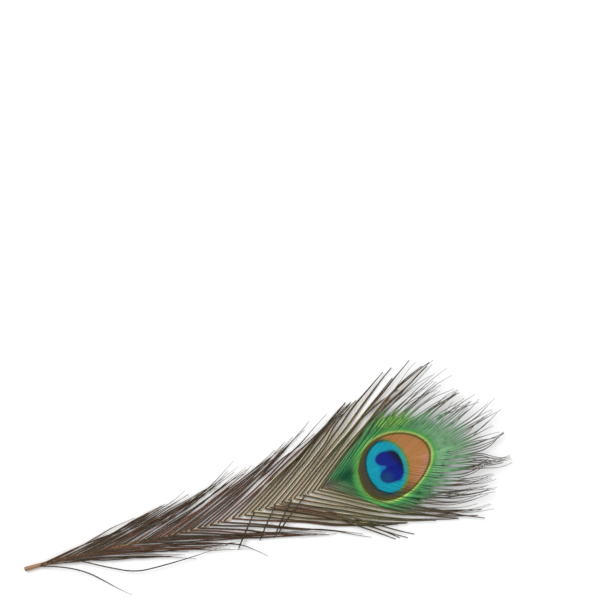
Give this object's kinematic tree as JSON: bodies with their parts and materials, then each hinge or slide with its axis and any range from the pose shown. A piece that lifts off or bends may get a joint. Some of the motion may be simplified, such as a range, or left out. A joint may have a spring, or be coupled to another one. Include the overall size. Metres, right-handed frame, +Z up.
{
  "type": "peacock feather",
  "caption": "Cut peacock tail feather lying face up: a tapered shaft with loose barbs on both sides, a knitted round eye and a wispy crown.",
  "frame": {"origin": "on the surface that the feather lies on, under the middle of its box", "axes": "+X along the shaft from the cut end to the crown, +Y to the feather's left, +Z up off the surface, out of the feather's face"},
  "size_m": [0.2974, 0.0954, 0.007],
  "materials": {
    "shaft": "horn-like, satin, pale tan darkening to brown towards the eye",
    "eye": "iridescent: deep blue heart in turquoise, copper and a gold-green rim, silky",
    "brown_barbs": "fine hairy strands, dark brown with a green and red sheen",
    "green_barbs": "fine hairy strands, olive and gold-brown with a green sheen",
    "crown_barbs": "fine hairy strands, bright green by the eye, grey-brown at the tips"
  },
  "bodies": {
    "root": {"shaft": "shaft", "eye": "eye", "left_base_barbs": "brown_barbs", "left_middle_barbs": "brown_barbs", "left_upper_barbs": "green_barbs", "left_crown": "crown_barbs", "right_base_barbs": "brown_barbs", "right_middle_barbs": "brown_barbs", "right_upper_barbs": "green_barbs", "right_crown": "crown_barbs"}
  },
  "joints": []
}
